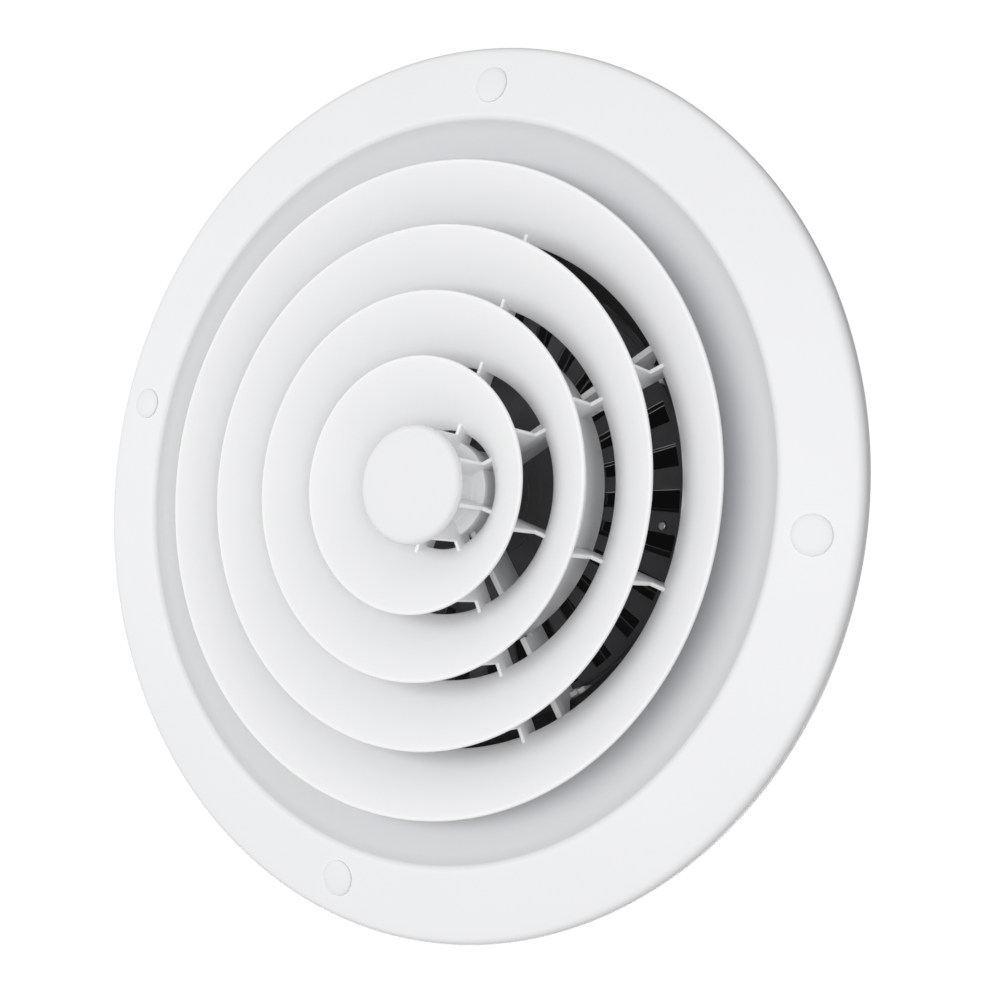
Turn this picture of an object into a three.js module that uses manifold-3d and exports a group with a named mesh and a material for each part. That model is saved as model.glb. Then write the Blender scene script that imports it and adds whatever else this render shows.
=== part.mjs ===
// Round ceiling air diffuser: a wide frame with a bell-shaped throat, four nested cones on a
// lift-out core, a centre knob, and a rotating sector shutter in the duct neck.
// Millimetres. +Z up into the ceiling void, the room is below. Heights in this file are from the
// ceiling plane. The finished group is lifted so that its lowest point, the knob's face, is at z = 0.

import * as THREE from 'three';
import { mergeVertices } from 'three/addons/utils/BufferGeometryUtils.js';
import Module from 'manifold-3d';

const wasm = await Module();
wasm.setup();

// ---- driving dimensions ----
const OUTER_RADIUS = 175;
const FACE_Z = -8;
const SHEET = 2;
const OPENING_RADIUS = 146;
const BELL_TOP_RADIUS = 106;
const BELL_TOP_Z = 26;
const NECK_INNER_RADIUS = 97;
const NECK_TOP_Z = 80;
const ROUND_SEGMENTS = 40;

const CONE_LIP_RADII = [128.3, 102.6, 76.5, 50.4];
const CONE_THROAT_RADII = [104.5, 77.6, 51, 24.6];
const CONE_LIP_Z = -11.9;
const CONE_TOP_Z = 14.1;
const CONE_SHEET = 1.6;
const CONE_BEND_ACROSS = 0.62;
const CONE_BEND_UP = 0.32;

const KNOB_RADIUS = 24;
const KNOB_FACE_Z = CONE_LIP_Z - 0.25;
const STEM_RADIUS = 9.4;
const STEM_TOP_Z = 32.5;
const HUB_OUTER_RADIUS = 14.6;
const HUB_COLLAR_RADIUS = 20.5;
const RIB_ANGLE = 10;
const RIB_COUNT = 8;
const RIB_TOP_Z = 19;
const RIB_TAB_Z = 8.5;
const RIB_FOOT_Z = -8.3;
const RIB_SETBACK = 0.6;
const RIB_WIDTH = 1.6;
const CORE_RING_INNER = 65.2;
const CORE_RING_OUTER = 67.2;
const CORE_RING_BOTTOM_Z = 9.5;
const CORE_RING_TOP_Z = 25.5;
const GAP = 0.3;

const ARM_ANGLE = 48.1;
const ARM_WIDTH = 2.6;
const ARM_BOTTOM_Z = 19.4;
const ARM_TOP_Z = 38;
const ARM_RING_GAP = 1.5;
const PAD_FACE_RADIUS = 96.5;

const SECTOR_COUNT = 30;
const SECTOR_PITCH = 360 / SECTOR_COUNT;
const SLOT_INNER_RADIUS = 52;
const SLOT_OUTER_RADIUS = 89;
const SLOT_CENTRE_ANGLE = 3;
const STATOR_SLOT = 6;
const ROTOR_SLOT = 5.6;
const ROTOR_REST_TURN = -1;
const STATOR_Z = 48;
const ROTOR_Z = 57;
const PLATE = 2;

const GLIDE_RADIUS = 83;
const GLIDE_ANGLE = SLOT_CENTRE_ANGLE - SECTOR_PITCH / 2 + 1;

const SPINDLE_RADIUS = 6;
const SPINDLE_TOP_Z = 71;
const SQUARE_DRIVE = 8;

const SCREW_CIRCLE_RADIUS = 159.4;
const SCREW_ANGLES = [-4, 90, 184, 270];
const CAP_RADIUS = 6.9;
const COUNTERBORE_RADIUS = 6.3;
const COUNTERBORE_FLOOR_Z = -4.2;
const BRIDGE_RIVET_Z = 42;
const STATOR_RIVET_Z = 56;
const STATOR_RIVET_ANGLE = 4.5;

// ---- geometry helpers ----
const radians = (degrees) => (degrees * Math.PI) / 180;

// Weld vertices, drop collapsed triangles and turn every face outwards.
function solid(geometry) {
  const plain = new THREE.BufferGeometry();
  plain.setAttribute('position', geometry.getAttribute('position').clone());
  if (geometry.index) plain.setIndex(geometry.index.clone());
  const welded = mergeVertices(plain, 1e-4);
  const corners = welded.index.array;
  const kept = [];
  for (let i = 0; i < corners.length; i += 3) {
    const [a, b, c] = [corners[i], corners[i + 1], corners[i + 2]];
    if (a !== b && b !== c && a !== c) kept.push(a, b, c);
  }
  const position = welded.getAttribute('position');
  const [a, b, c] = [new THREE.Vector3(), new THREE.Vector3(), new THREE.Vector3()];
  let volume = 0;
  for (let i = 0; i < kept.length; i += 3) {
    a.fromBufferAttribute(position, kept[i]);
    b.fromBufferAttribute(position, kept[i + 1]);
    c.fromBufferAttribute(position, kept[i + 2]);
    volume += a.dot(b.cross(c));
  }
  if (volume < 0) kept.reverse();
  welded.setIndex(kept);
  return welded;
}

function toManifold(geometry) {
  const clean = solid(geometry);
  const mesh = new wasm.Mesh({
    numProp: 3,
    vertProperties: new Float32Array(clean.getAttribute('position').array),
    triVerts: new Uint32Array(clean.index.array),
  });
  return new wasm.Manifold(mesh);
}

function fromManifold(manifold) {
  const mesh = manifold.getMesh();
  const geometry = new THREE.BufferGeometry();
  geometry.setAttribute('position', new THREE.BufferAttribute(new Float32Array(mesh.vertProperties), 3));
  geometry.setIndex(new THREE.BufferAttribute(new Uint32Array(mesh.triVerts), 1));
  return geometry;
}

// Add and cut lists of geometries in one go.
function combine(added, removed = []) {
  let body = toManifold(added[0]);
  for (const piece of added.slice(1)) body = body.add(toManifold(piece));
  for (const piece of removed) body = body.subtract(toManifold(piece));
  return fromManifold(body);
}

// Revolve (radius, height) points about Z; a profile off the axis is closed on itself.
function revolve(points, segments = ROUND_SEGMENTS) {
  const profile = points.map(([r, z]) => new THREE.Vector2(r, z));
  const first = profile[0];
  const last = profile[profile.length - 1];
  if (first.x > 0 || last.x > 0) profile.push(first.clone());
  return solid(new THREE.LatheGeometry(profile, segments).rotateX(Math.PI / 2));
}

// A tube between two radii and two heights.
function tube(inner, outer, bottom, top, segments = ROUND_SEGMENTS) {
  return revolve([[inner, bottom], [outer, bottom], [outer, top], [inner, top]], segments);
}

function rod(radius, bottom, top, segments = 24) {
  return revolve([[0, bottom], [radius, bottom], [radius, top], [0, top]], segments);
}

function box(x0, x1, y0, y1, z0, z1) {
  const geometry = new THREE.BoxGeometry(x1 - x0, y1 - y0, z1 - z0);
  return geometry.translate((x0 + x1) / 2, (y0 + y1) / 2, (z0 + z1) / 2);
}

const turned = (geometry, degrees) => geometry.clone().rotateZ(radians(degrees));

const around = (count, start) => Array.from({ length: count }, (_, i) => start + (i * 360) / count);

// Shift an open line of (radius, height) points sideways, to its right-hand side.
function offsetLine(points, distance) {
  return points.map((point, i) => {
    const before = points[Math.max(i - 1, 0)];
    const after = points[Math.min(i + 1, points.length - 1)];
    const inDirection = new THREE.Vector2(point[0] - before[0], point[1] - before[1]);
    const outDirection = new THREE.Vector2(after[0] - point[0], after[1] - point[1]);
    if (i === 0) inDirection.copy(outDirection);
    if (i === points.length - 1) outDirection.copy(inDirection);
    inDirection.normalize();
    outDirection.normalize();
    const mean = inDirection.clone().add(outDirection).normalize();
    const stretch = distance / Math.max(mean.dot(inDirection), 0.5);
    return [point[0] + mean.y * stretch, point[1] - mean.x * stretch];
  });
}

// Both faces of a sheet whose first face is the given line.
const shellProfile = (points, thickness) => [...points, ...offsetLine(points, thickness).reverse()];

// Quadratic curve from start to end, pulled towards the bend point.
function curve(start, bend, end, steps) {
  return Array.from({ length: steps + 1 }, (_, i) => {
    const t = i / steps;
    const mix = (k) => (1 - t) ** 2 * start[k] + 2 * t * (1 - t) * bend[k] + t ** 2 * end[k];
    return [mix(0), mix(1)];
  });
}

// ---- cones: flat at the lip, steep at the throat ----
function coneLine(index) {
  const lip = CONE_LIP_RADII[index];
  const throat = CONE_THROAT_RADII[index];
  const bendRadius = lip - CONE_BEND_ACROSS * (lip - throat);
  const bendHeight = CONE_LIP_Z + CONE_BEND_UP * (CONE_TOP_Z - CONE_LIP_Z);
  return curve([lip, CONE_LIP_Z], [bendRadius, bendHeight], [throat, CONE_TOP_Z], 4);
}

const coneGeometry = (index) => revolve(shellProfile(coneLine(index), CONE_SHEET));

// The cone's sheet with a gap all round it, which is the slot that the ribs hold it in.
function coneSlotGeometry(index) {
  const line = coneLine(index);
  const [beforeTop, top] = line.slice(-2);
  const reach = Math.hypot(top[0] - beforeTop[0], top[1] - beforeTop[1]);
  const grow = (k) => top[k] + ((top[k] - beforeTop[k]) * GAP) / reach;
  const longer = [...line.slice(0, -1), [grow(0), grow(1)]];
  return revolve([...offsetLine(longer, -GAP), ...offsetLine(longer, CONE_SHEET + GAP).reverse()]);
}

// Radius of the cone's room-side face at a height.
function coneRadiusAt(index, height) {
  const line = coneLine(index);
  const i = line.findIndex((point) => point[1] >= height);
  const [low, high] = [line[i - 1], line[i]];
  return low[0] + ((high[0] - low[0]) * (height - low[1])) / (high[1] - low[1]);
}

// ---- frame: rolled rim, flat face, bell, shoulder and duct neck ----
function frameGeometry() {
  const line = [
    [OUTER_RADIUS, 0],
    [OUTER_RADIUS, FACE_Z + 3],
    [OUTER_RADIUS - 0.9, FACE_Z + 0.9],
    [OUTER_RADIUS - 3, FACE_Z],
    [OPENING_RADIUS + 3.5, FACE_Z],
    [OPENING_RADIUS + 1.2, FACE_Z + 0.5],
    ...curve([OPENING_RADIUS, FACE_Z + 1.6], [112, 6], [BELL_TOP_RADIUS, BELL_TOP_Z], 4),
    [NECK_INNER_RADIUS, BELL_TOP_Z + 8],
    [NECK_INNER_RADIUS, NECK_TOP_Z],
  ];
  const shell = revolve(shellProfile(line, SHEET));
  const bosses = [];
  const holes = [];
  for (const angle of SCREW_ANGLES) {
    const place = (part) => turned(part.translate(SCREW_CIRCLE_RADIUS, 0, 0), angle);
    bosses.push(place(rod(7.5, FACE_Z + 1, 0, 16)));
    holes.push(place(rod(COUNTERBORE_RADIUS, FACE_Z - 1, COUNTERBORE_FLOOR_Z, 16)));
    holes.push(place(rod(2.6, FACE_Z, 1, 12)));
  }
  for (const angle of around(4, ARM_ANGLE)) holes.push(radialRod(2.05, 90, 104, BRIDGE_RIVET_Z, angle));
  for (const angle of around(4, STATOR_RIVET_ANGLE)) holes.push(radialRod(2.05, 90, 104, STATOR_RIVET_Z, angle));
  return combine([shell, ...bosses], holes);
}

// A rod lying along a radius, at a height and an angle.
function radialRod(radius, from, to, z, angle, segments = 12) {
  return turned(rod(radius, from, to, segments).rotateY(Math.PI / 2).translate(0, 0, z), angle);
}

// A rivet along a radius: flat head inside, domed head outside the neck.
function rivetGeometry(insideRadius, z, angle) {
  const outside = NECK_INNER_RADIUS + SHEET + 0.05;
  const profile = [
    [0, insideRadius - 1.3],
    [3.2, insideRadius - 1.3],
    [3.2, insideRadius],
    [1.95, insideRadius],
    [1.95, outside],
    [3.8, outside],
    [2.8, outside + 1.5],
    [0, outside + 2.1],
  ];
  return turned(revolve(profile, 12).rotateY(Math.PI / 2).translate(0, 0, z), angle);
}

// ---- fixing screws and their caps ----
function screwGeometry() {
  const headTop = COUNTERBORE_FLOOR_Z - 0.05;
  const shaft = revolve([
    [0, -6.7],
    [3.2, -6.7],
    [4.6, -5.7],
    [4.6, headTop],
    [2.1, headTop],
    [2.1, 24],
    [0, 30],
  ], 16);
  const slotA = box(-2.6, 2.6, -0.55, 0.55, -8, -5.3);
  const slotB = box(-0.55, 0.55, -2.6, 2.6, -8, -5.3);
  return combine([shaft], [slotA, slotB]);
}

function capGeometry() {
  const seat = FACE_Z - 0.1;
  return revolve([
    [0, FACE_Z - 1.35],
    [5, FACE_Z - 1.1],
    [CAP_RADIUS, FACE_Z - 0.45],
    [CAP_RADIUS, seat],
    [5.9, seat],
    [5.9, FACE_Z + 1.1],
    [0, FACE_Z + 1.1],
  ], 16);
}

// ---- fixed bridge across the neck ----
// One arm: notched over the core's ring, and cut back under the shoulder of the bell.
function armGeometry(angle) {
  const notchTop = CORE_RING_TOP_Z + ARM_RING_GAP / 2;
  const outline = [
    [17, ARM_TOP_Z],
    [17, ARM_BOTTOM_Z],
    [CORE_RING_INNER - ARM_RING_GAP, ARM_BOTTOM_Z],
    [CORE_RING_INNER - ARM_RING_GAP, notchTop],
    [CORE_RING_OUTER + ARM_RING_GAP, notchTop],
    [CORE_RING_OUTER + ARM_RING_GAP, ARM_BOTTOM_Z],
    [103.8, ARM_BOTTOM_Z],
    [103.8, 25.4],
    [PAD_FACE_RADIUS - 1, 33.4],
    [PAD_FACE_RADIUS - 1, ARM_TOP_Z],
  ];
  return turned(uprightPlate(outline, ARM_WIDTH), angle);
}

// A flat plate standing on edge along +X, from its (radius, height) outline.
function uprightPlate(outline, width) {
  const shape = new THREE.Shape(outline.map(([r, z]) => new THREE.Vector2(r, z)));
  const plate = new THREE.ExtrudeGeometry(shape, { depth: width, bevelEnabled: false });
  return plate.rotateX(Math.PI / 2).translate(0, width / 2, 0);
}

function bridgeGeometry() {
  const skirt = revolve([
    [15.1, ARM_BOTTOM_Z],
    [18.5, ARM_BOTTOM_Z],
    [18.5, ARM_TOP_Z],
    [SPINDLE_RADIUS + 0.08, ARM_TOP_Z],
    [SPINDLE_RADIUS + 0.08, 34],
    [15.1, 34],
  ], 32);
  const pieces = [skirt];
  const holes = [];
  for (const angle of around(4, ARM_ANGLE)) {
    pieces.push(armGeometry(angle));
    pieces.push(turned(box(PAD_FACE_RADIUS - 2.2, PAD_FACE_RADIUS, -7, 7, 36, 46.4), angle));
    pieces.push(turned(box(PAD_FACE_RADIUS - 2.2, PAD_FACE_RADIUS - 0.2, -4, 4, 34.2, 38), angle));
    holes.push(radialRod(2.05, 90, 100, BRIDGE_RIVET_Z, angle));
  }
  return combine(pieces, holes);
}

// ---- sector shutter ----
// Flat ring plate with evenly spaced sector slots.
function sectorPlate(inner, outer, slotDegrees, centreAngle, bottom) {
  const shape = new THREE.Shape(around(ROUND_SEGMENTS, 0).map((angle) => polar(outer, angle)));
  shape.holes.push(new THREE.Path(around(24, 0).map((angle) => polar(inner, angle))));
  for (const angle of around(SECTOR_COUNT, centreAngle)) {
    const [low, high] = [angle - slotDegrees / 2, angle + slotDegrees / 2];
    const corners = [
      polar(SLOT_INNER_RADIUS, low),
      polar(SLOT_OUTER_RADIUS, low),
      polar(SLOT_OUTER_RADIUS, high),
      polar(SLOT_INNER_RADIUS, high),
    ];
    shape.holes.push(new THREE.Path(corners));
  }
  const plate = new THREE.ExtrudeGeometry(shape, { depth: PLATE, bevelEnabled: false, curveSegments: 1 });
  return plate.translate(0, 0, bottom);
}

function polar(radius, angle) {
  return new THREE.Vector2(radius * Math.cos(radians(angle)), radius * Math.sin(radians(angle)));
}

function statorGeometry() {
  const plate = sectorPlate(8, 95, STATOR_SLOT, SLOT_CENTRE_ANGLE, STATOR_Z);
  const rim = tube(94.5, 96.6, STATOR_Z, 63);
  const collar = tube(SPINDLE_RADIUS + 0.08, 11, STATOR_Z - 2, STATOR_Z + PLATE, 32);
  const holes = around(4, STATOR_RIVET_ANGLE).map((angle) => radialRod(2.05, 90, 100, STATOR_RIVET_Z, angle));
  const padHoles = around(3, GLIDE_ANGLE).map((angle) => turned(glideHole(), angle));
  return combine([plate, rim, collar], [...holes, ...padHoles]);
}

function rotorGeometry() {
  const plate = sectorPlate(8, 92, ROTOR_SLOT, SLOT_CENTRE_ANGLE + ROTOR_REST_TURN, ROTOR_Z);
  const collar = tube(SPINDLE_RADIUS + 0.04, 12, 51.2, 64, 32);
  return combine([plate, collar]);
}

// Glide pads standing on three stator bars, each held by a small rivet.
const glideHole = () => rod(1.3, 40, 55, 12).translate(GLIDE_RADIUS, 0, 0);

function glidePadGeometry(angle) {
  const [bottom, top] = [STATOR_Z + PLATE + 0.05, ROTOR_Z - GAP];
  const body = box(GLIDE_RADIUS - 3.5, GLIDE_RADIUS + 3.5, -2.4, 2.4, bottom, top);
  return turned(combine([body], [glideHole()]), angle);
}

function padRivetGeometry(angle) {
  const profile = [
    [0, STATOR_Z - 1.1],
    [1.3, STATOR_Z - 0.9],
    [2, STATOR_Z - 0.05],
    [1.2, STATOR_Z - 0.05],
    [1.2, ROTOR_Z - 2.6],
    [0, ROTOR_Z - 2.6],
  ];
  return turned(revolve(profile, 12).translate(GLIDE_RADIUS, 0, 0), angle);
}

// ---- spindle line ----
function spindleGeometry() {
  const half = SQUARE_DRIVE / 2;
  const shaft = rod(SPINDLE_RADIUS, 33, SPINDLE_TOP_Z, 32);
  const drive = box(-half, half, -half, half, 4, 33.5);
  return combine([shaft, drive]);
}

function nutGeometry() {
  return combine([rod(10, 64.1, 69, 6)], [rod(SPINDLE_RADIUS + 0.05, 60, 72, 32)]);
}

// ---- lift-out core ----
function coreHubGeometry() {
  const hub = revolve([
    [STEM_RADIUS + 0.09, -2],
    [17, -2],
    [17, 0.5],
    [HUB_OUTER_RADIUS, 2.5],
    [HUB_OUTER_RADIUS, 12],
    [HUB_COLLAR_RADIUS, 12],
    [HUB_COLLAR_RADIUS, RIB_TOP_Z - 0.4],
    [HUB_OUTER_RADIUS, RIB_TOP_Z - 0.4],
    [HUB_OUTER_RADIUS, 24.8],
    [13.5, 24.8],
    [13.5, 27.2],
    [HUB_OUTER_RADIUS, 27.2],
    [HUB_OUTER_RADIUS - 0.6, 30],
    [STEM_RADIUS + 0.09, 30],
  ], 32);
  const ribs = around(RIB_COUNT, RIB_ANGLE).map((angle) => turned(uprightPlate(ribOutline(), RIB_WIDTH), angle));
  const slots = CONE_LIP_RADII.map((_, i) => coneSlotGeometry(i));
  const ringSlot = tube(CORE_RING_INNER - GAP, CORE_RING_OUTER + GAP, CORE_RING_BOTTOM_Z - GAP, RIB_TOP_Z + 1);
  return combine([hub, ...ribs], [...slots, ringSlot]);
}

// A rib stands behind the knob and behind each cone out to the lip, and reaches across the gap
// between with a tab that ends on the room-side face of the next cone.
function ribOutline() {
  const outline = [
    [12, RIB_TOP_Z],
    [12, -1.5],
    [15, -1.5],
    [17, RIB_FOOT_Z],
    [KNOB_RADIUS - RIB_SETBACK, RIB_FOOT_Z],
    [KNOB_RADIUS - RIB_SETBACK, RIB_TAB_Z],
  ];
  for (const index of [3, 2, 1]) {
    const behind = coneLine(index).filter((point) => point[1] < RIB_TAB_Z && point[1] > RIB_FOOT_Z);
    const edge = CONE_LIP_RADII[index] - RIB_SETBACK;
    outline.push([coneRadiusAt(index, RIB_TAB_Z), RIB_TAB_Z], ...behind.reverse());
    outline.push([coneRadiusAt(index, RIB_FOOT_Z), RIB_FOOT_Z], [edge, RIB_FOOT_Z], [edge, RIB_TAB_Z]);
  }
  outline.push([coneRadiusAt(0, RIB_TAB_Z), RIB_TAB_Z], [coneRadiusAt(0, 3), 3], [112, 12], [105.5, RIB_TOP_Z]);
  return outline;
}

function knobGeometry() {
  const body = revolve([
    [0, KNOB_FACE_Z],
    [16, KNOB_FACE_Z + 0.1],
    [22, CONE_LIP_Z + 0.1],
    [23.6, CONE_LIP_Z + 0.7],
    [KNOB_RADIUS, CONE_LIP_Z + 1.6],
    [23.4, CONE_LIP_Z + 2.6],
    [13, CONE_LIP_Z + 3.1],
    [13, -2.3],
    [STEM_RADIUS, -2.3],
    [STEM_RADIUS, STEM_TOP_Z],
    [0, STEM_TOP_Z],
  ], 32);
  const half = SQUARE_DRIVE / 2 + 0.15;
  return combine([body], [box(-half, half, -half, half, 3, 40)]);
}

// ---- assembly ----
const white = { color: 0xf1f2f3, roughness: 0.42, metalness: 0 };
const capWhite = { color: 0xeceeef, roughness: 0.45, metalness: 0 };
const paleGrey = { color: 0xd5d8da, roughness: 0.5, metalness: 0 };
const darkGrey = { color: 0x4a4b4d, roughness: 0.6, metalness: 0 };
const steel = { color: 0xb4b6b8, roughness: 0.35, metalness: 0.9 };
const rubberBlack = { color: 0x1d1d1e, roughness: 0.85, metalness: 0 };
const foamGrey = { color: 0x6d7073, roughness: 0.95, metalness: 0 };

const group = new THREE.Group();
group.name = 'ceiling_air_diffuser';

function addPart(name, geometry, look) {
  const flat = solid(geometry).toNonIndexed();
  flat.computeVertexNormals();
  const mesh = new THREE.Mesh(flat, new THREE.MeshStandardMaterial(look));
  mesh.name = name;
  group.add(mesh);
}

addPart('outer_frame', frameGeometry(), white);
addPart('ceiling_gasket', tube(167.9, 171.6, FACE_Z + SHEET + 0.3, 0), foamGrey);
addPart('duct_seal_ring', revolve([
  [99.1, 66],
  [100.4, 66],
  [103.4, 67],
  [101.2, 69.6],
  [103, 70.4],
  [100.6, 74],
  [99.1, 74],
]), rubberBlack);

SCREW_ANGLES.forEach((angle, i) => {
  const place = (part) => turned(part.translate(SCREW_CIRCLE_RADIUS, 0, 0), angle);
  addPart(`mounting_screw_${i + 1}`, place(screwGeometry()), steel);
  addPart(`screw_cap_${i + 1}`, place(capGeometry()), capWhite);
});

addPart('neck_bridge', bridgeGeometry(), paleGrey);
around(4, ARM_ANGLE).forEach((angle, i) => {
  addPart(`bridge_rivet_${i + 1}`, rivetGeometry(PAD_FACE_RADIUS - 2.25, BRIDGE_RIVET_Z, angle), steel);
});

addPart('shutter_stator', statorGeometry(), darkGrey);
around(4, STATOR_RIVET_ANGLE).forEach((angle, i) => {
  addPart(`stator_rivet_${i + 1}`, rivetGeometry(94.1, STATOR_RIVET_Z, angle), steel);
});
around(3, GLIDE_ANGLE).forEach((angle, i) => {
  addPart(`glide_pad_${i + 1}`, glidePadGeometry(angle), capWhite);
  addPart(`pad_rivet_${i + 1}`, padRivetGeometry(angle), steel);
});

addPart('shutter_rotor', rotorGeometry(), darkGrey);
addPart('shutter_spindle', spindleGeometry(), steel);
addPart('spindle_circlip', tube(6.05, 9.5, 38.2, 39.4, 24), steel);
addPart('rotor_washer', tube(6.2, 10.8, 50.15, 51.05, 24), steel);
addPart('spindle_nut', nutGeometry(), steel);

CONE_LIP_RADII.forEach((_, i) => addPart(`cone_${i + 1}`, coneGeometry(i), white));
addPart('core_hub_and_ribs', coreHubGeometry(), capWhite);
addPart('core_ring', tube(CORE_RING_INNER, CORE_RING_OUTER, CORE_RING_BOTTOM_Z, CORE_RING_TOP_Z), paleGrey);
addPart('core_grip_ring', tube(13.6, 14.95, 25, 27, 32), rubberBlack);
addPart('centre_knob', knobGeometry(), white);
addPart('knob_clip', tube(STEM_RADIUS + 0.05, 12.8, 30.3, 31.5, 32), steel);

group.position.z = -KNOB_FACE_Z;

export default group;
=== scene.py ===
# Looks of a round ceiling air diffuser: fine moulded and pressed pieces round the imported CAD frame.
# Metres, +Z up into the ceiling void. The room, and the main camera, are below.

import math

import bmesh
import bpy
import numpy as np
from mathutils import Matrix, Vector


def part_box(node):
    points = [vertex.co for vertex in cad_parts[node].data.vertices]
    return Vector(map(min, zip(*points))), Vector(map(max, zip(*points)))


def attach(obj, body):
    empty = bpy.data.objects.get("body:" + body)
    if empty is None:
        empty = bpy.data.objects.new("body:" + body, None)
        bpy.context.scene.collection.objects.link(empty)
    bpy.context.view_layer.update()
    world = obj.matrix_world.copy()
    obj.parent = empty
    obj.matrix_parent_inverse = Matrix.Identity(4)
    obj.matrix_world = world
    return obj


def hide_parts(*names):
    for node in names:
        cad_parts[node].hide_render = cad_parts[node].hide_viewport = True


MM = 0.001
ROUND_STEPS = 256
SMALL_STEPS = 64

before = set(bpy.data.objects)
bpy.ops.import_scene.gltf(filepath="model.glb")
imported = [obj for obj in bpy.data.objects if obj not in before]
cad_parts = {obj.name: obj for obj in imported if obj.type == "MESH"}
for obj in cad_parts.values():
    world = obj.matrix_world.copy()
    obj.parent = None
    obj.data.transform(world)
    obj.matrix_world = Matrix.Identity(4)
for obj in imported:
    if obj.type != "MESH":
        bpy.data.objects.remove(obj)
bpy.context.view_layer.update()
OUTER_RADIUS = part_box("outer_frame")[1].x
# Heights in this script are from the ceiling plane, where the gasket ends.
CEILING = Vector((0, 0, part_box("ceiling_gasket")[1].z))


# ---------------------------------------------------------------- measures from the frame
def cad_points(node):
    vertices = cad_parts[node].data.vertices
    return np.array([v.co - CEILING for v in vertices], float).reshape(-1, 3)


def cad_box(node):
    low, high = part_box(node)
    return low - CEILING, high - CEILING


def ring_size(node):
    """Inner radius, outer radius, bottom and top of a node that is round about Z."""
    points = cad_points(node)
    radius = np.hypot(points[:, 0], points[:, 1])
    return radius.min(), radius.max(), points[:, 2].min(), points[:, 2].max()


def centre_of(node):
    low, high = cad_box(node)
    return (low + high) / 2


def angle_of(node):
    centre = centre_of(node)
    return math.atan2(centre.y, centre.x)


# ---------------------------------------------------------------- sizes shared by looks and shapes
SHEET = 2.0 * MM
FACE_Z = -8.0 * MM
OPENING_RADIUS = 146 * MM
RECESS_EDGE = OPENING_RADIUS + 0.6 * MM
BELL_TOP = (106 * MM, 26 * MM)
NECK_RADIUS = ring_size("outer_frame")[0]
NECK_LOW = 34 * MM
NECK_TOP = cad_box("outer_frame")[1].z


# ---------------------------------------------------------------- materials
def new_material(name):
    material = bpy.data.materials.new(name)
    material.use_nodes = True
    return material, material.node_tree.nodes, material.node_tree.links


def add_noise(nodes, links, scale, detail=3.0, rough=0.55):
    place = nodes.new("ShaderNodeTexCoord")
    noise = nodes.new("ShaderNodeTexNoise")
    noise.inputs["Scale"].default_value = scale
    noise.inputs["Detail"].default_value = detail
    noise.inputs["Roughness"].default_value = rough
    links.new(place.outputs["Object"], noise.inputs["Vector"])
    return noise.outputs["Fac"]


def map_range(nodes, links, source, low, high, from_low=0.3, from_high=0.7):
    node = nodes.new("ShaderNodeMapRange")
    node.inputs["From Min"].default_value = from_low
    node.inputs["From Max"].default_value = from_high
    node.inputs["To Min"].default_value = low
    node.inputs["To Max"].default_value = high
    links.new(source, node.inputs["Value"])
    return node.outputs["Result"]


def mix_colour(nodes, links, factor, first, second):
    node = nodes.new("ShaderNodeMix")
    node.data_type = "RGBA"
    node.inputs["A"].default_value = (*first, 1)
    node.inputs["B"].default_value = (*second, 1)
    links.new(factor, node.inputs["Factor"])
    return node.outputs["Result"]


def add_bump(nodes, links, shader, height, distance, strength=1.0):
    bump = nodes.new("ShaderNodeBump")
    bump.inputs["Distance"].default_value = distance
    bump.inputs["Strength"].default_value = strength
    links.new(height, bump.inputs["Height"])
    links.new(bump.outputs["Normal"], shader.inputs["Normal"])


PLASTIC_SHEEN = 0.2
SATIN = 0.42
FINE_GRAIN = 900.0
COARSE_GRAIN = 800.0
# Depths of the moulded grain.
SHALLOW = 0.02 * MM
DEEP = 0.04 * MM
# Painted shade: the flange and caps take a darker copy of the cones' white, because the flat flange
# catches more of the key light.
FLANGE_WHITE_PAINTED_SHADE = (0.88, 0.885, 0.892)
FLANGE_FLOW_TONE_PAINTED_SHADE = (0.865, 0.87, 0.878)
# Painted shade: grey laid on the room side of the recess round the outer cone.
RECESS_PAINTED_SHADE = (0.68, 0.69, 0.705)
# Painted shade: near black laid on the inside of the shoulder and neck.
NECK_PAINTED_SHADE = (0.03, 0.03, 0.031)
RECESS_BLEND = 0.8 * MM


def moulded_plastic(name, colour, shade, roughness, grain_scale, grain_depth):
    """Satin moulded plastic: faint flow marks in colour and sheen over a fine moulded grain."""
    material, nodes, links = new_material(name)
    shader = nodes["Principled BSDF"]
    flow = add_noise(nodes, links, 9.0, 4.0)
    tint = map_range(nodes, links, flow, 0.0, 1.0)
    links.new(mix_colour(nodes, links, tint, shade, colour), shader.inputs["Base Color"])
    patch = add_noise(nodes, links, 42.0, 3.0)
    sheen = map_range(nodes, links, patch, roughness - 0.05, roughness + 0.06)
    links.new(sheen, shader.inputs["Roughness"])
    shader.inputs["Specular IOR Level"].default_value = PLASTIC_SHEEN
    grain = add_noise(nodes, links, grain_scale, 2.0)
    add_bump(nodes, links, shader, grain, grain_depth)
    return material


def add_place(nodes, links):
    """Distance from the duct axis, height, and how far the surface faces up."""
    place = nodes.new("ShaderNodeTexCoord")
    flat = nodes.new("ShaderNodeVectorMath")
    flat.operation = "MULTIPLY"
    flat.inputs[1].default_value = (1, 1, 0)
    links.new(place.outputs["Object"], flat.inputs[0])
    length = nodes.new("ShaderNodeVectorMath")
    length.operation = "LENGTH"
    links.new(flat.outputs["Vector"], length.inputs[0])
    heights = []
    for source in ("Object", "Normal"):
        split = nodes.new("ShaderNodeSeparateXYZ")
        links.new(place.outputs[source], split.inputs[0])
        heights.append(split.outputs["Z"])
    return length.outputs["Value"], *heights


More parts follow.
